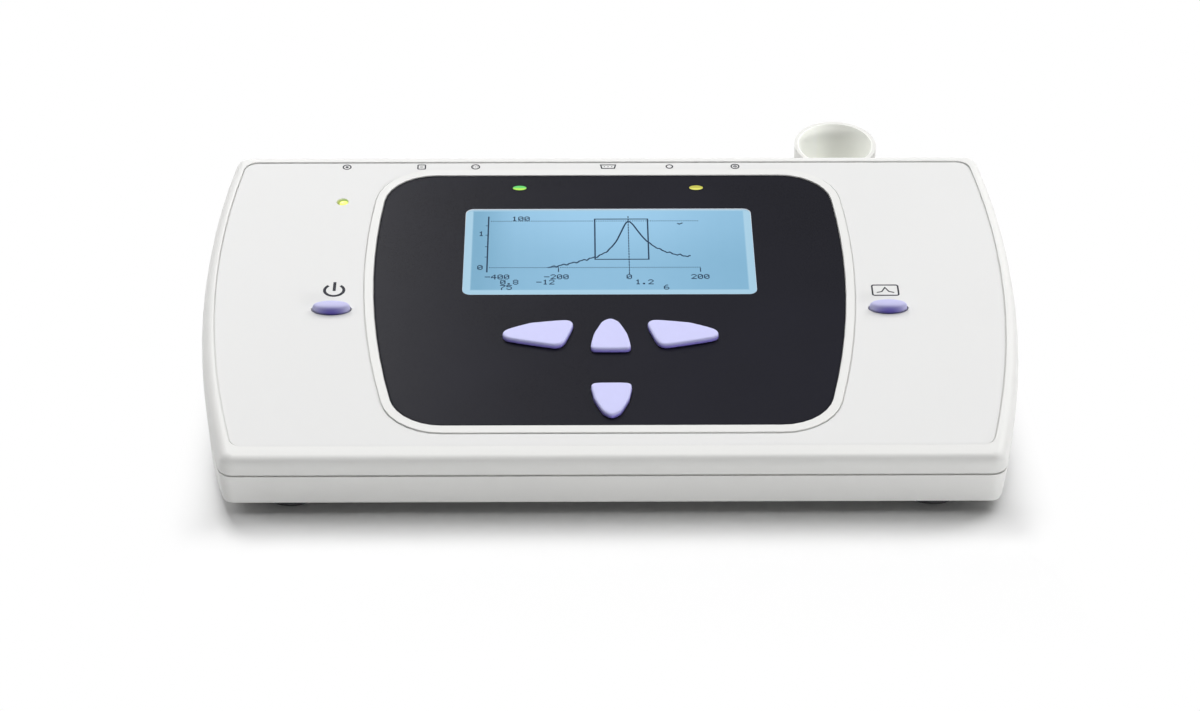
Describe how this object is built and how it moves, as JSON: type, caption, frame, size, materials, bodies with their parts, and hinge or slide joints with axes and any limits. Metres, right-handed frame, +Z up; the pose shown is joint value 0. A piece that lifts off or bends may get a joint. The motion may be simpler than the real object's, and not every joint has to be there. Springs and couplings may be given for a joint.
{
  "type": "tympanometer",
  "caption": "Wedge-shaped desktop tympanometer with bowed sides, sunk dark front panel, back-lit display, arrow keys, oval keys, rear sockets and a cup for its probe.",
  "frame": {"origin": "centre of the bounding box at table level, under the feet", "axes": "+X to the user's right, +Y to the rear connectors, +Z up"},
  "size_m": [0.27, 0.1943, 0.0627],
  "materials": {
    "shell_white": "fine moulded texture",
    "overlay_grey": "printed polycarbonate film",
    "fascia_dark": "printed polycarbonate film",
    "window_clear": "clear",
    "key_lilac": "silicone",
    "lens_green": "clear tinted",
    "lens_yellow": "clear tinted",
    "foot_rubber": "matt",
    "board_green": "solder mask",
    "glass_blue": "polarised",
    "light_guide": "frosted",
    "frame_black": "satin",
    "screw_steel": "zinc plated",
    "nut_nickel": "nickel plated",
    "socket_steel": "tinned",
    "chip_black": "moulded epoxy",
    "can_blue": "sleeved",
    "cell_steel": "bright",
    "ribbon_ivory": "laminated",
    "flex_amber": "polyimide",
    "wire_red": "insulated",
    "socket_black": "moulded",
    "panel_grey": "fine moulded texture",
    "port_clear": "acetal",
    "bracket_zinc": "zinc plated",
    "motor_steel": "plated",
    "screw_bright": "rolled",
    "piston_white": "acetal",
    "seal_black": "lubricated",
    "barrel_clear": "polycarbonate",
    "manifold_grey": "machined",
    "sensor_blue": "moulded",
    "valve_steel": "plated",
    "hose_amber": "silicone"
  },
  "bodies": {
    "case": {"top_cover": "shell_white", "base_tray": "shell_white", "rear_panel": "panel_grey", "side_overlay": "overlay_grey", "fascia_label": "fascia_dark", "display_window": "window_clear", "led_power": "lens_green", "led_left": "lens_green", "led_right": "lens_yellow", "keypad_mats": "key_lilac", "key_board": "board_green", "side_boards": "board_green", "lcd_glass": "glass_blue", "lcd_backlight": "light_guide", "lcd_frame": "frame_black", "lcd_board": "board_green", "cover_screws": "screw_steel", "flex_links": "flex_amber", "flat_cable": "ribbon_ivory", "lead_wires": "wire_red", "main_board": "board_green", "board_chips": "chip_black", "board_capacitors": "can_blue", "coin_cell": "cell_steel", "board_screws": "screw_steel", "power_jack": "socket_black", "power_nut": "nut_nickel", "usb_socket": "socket_steel", "printer_socket": "socket_black", "probe_socket": "socket_steel", "probe_posts": "nut_nickel", "air_port": "port_clear", "air_nut": "nut_nickel", "contra_jack": "socket_black", "contra_nut": "nut_nickel", "pump_bracket": "bracket_zinc", "pump_bolts": "screw_steel", "pump_motor": "motor_steel", "pump_barrel": "barrel_clear", "air_manifold": "manifold_grey", "pressure_sensor": "sensor_blue", "vent_valve": "valve_steel", "air_tubing": "hose_amber", "probe_holder": "shell_white", "holder_screws": "screw_steel", "case_screws": "screw_steel", "rubber_feet": "foot_rubber"},
    "power_button": {"key_power": "key_lilac"},
    "mode_button": {"key_mode": "key_lilac"},
    "left_button": {"key_left": "key_lilac"},
    "right_button": {"key_right": "key_lilac"},
    "up_button": {"key_up": "key_lilac"},
    "down_button": {"key_down": "key_lilac"},
    "drive_screw": {"pump_screw": "screw_bright"},
    "plunger": {"pump_piston": "piston_white", "piston_seal": "seal_black"}
  },
  "joints": [
    {"name": "power_button_press", "type": "slide", "parent": "case", "child": "power_button", "axis": [0, 0.2419, -0.9703], "range_m": [0, 0.001], "stiffness_N_per_m": 1500, "springref_m": -0.0003},
    {"name": "mode_button_press", "type": "slide", "parent": "case", "child": "mode_button", "axis": [0, 0.2419, -0.9703], "range_m": [0, 0.001], "stiffness_N_per_m": 1500, "springref_m": -0.0003},
    {"name": "left_button_press", "type": "slide", "parent": "case", "child": "left_button", "axis": [0, 0.2419, -0.9703], "range_m": [0, 0.001], "stiffness_N_per_m": 1500, "springref_m": -0.0003},
    {"name": "right_button_press", "type": "slide", "parent": "case", "child": "right_button", "axis": [0, 0.2419, -0.9703], "range_m": [0, 0.001], "stiffness_N_per_m": 1500, "springref_m": -0.0003},
    {"name": "up_button_press", "type": "slide", "parent": "case", "child": "up_button", "axis": [0, 0.2419, -0.9703], "range_m": [0, 0.001], "stiffness_N_per_m": 1500, "springref_m": -0.0003},
    {"name": "down_button_press", "type": "slide", "parent": "case", "child": "down_button", "axis": [0, 0.2419, -0.9703], "range_m": [0, 0.001], "stiffness_N_per_m": 1500, "springref_m": -0.0003},
    {"name": "screw_turn", "type": "hinge", "parent": "case", "child": "drive_screw", "pos_m": [-0.1275, 0.01485, 0.025], "axis": [1, 0, 0], "range_deg": [0, 2160]},
    {"name": "plunger_stroke", "type": "slide", "parent": "case", "child": "plunger", "axis": [1, 0, 0], "range_m": [0, 0.012]}
  ],
  "couplings": [
    {"joint": "screw_turn", "follows": "plunger_stroke", "rad_per_m": 3141.6}
  ]
}
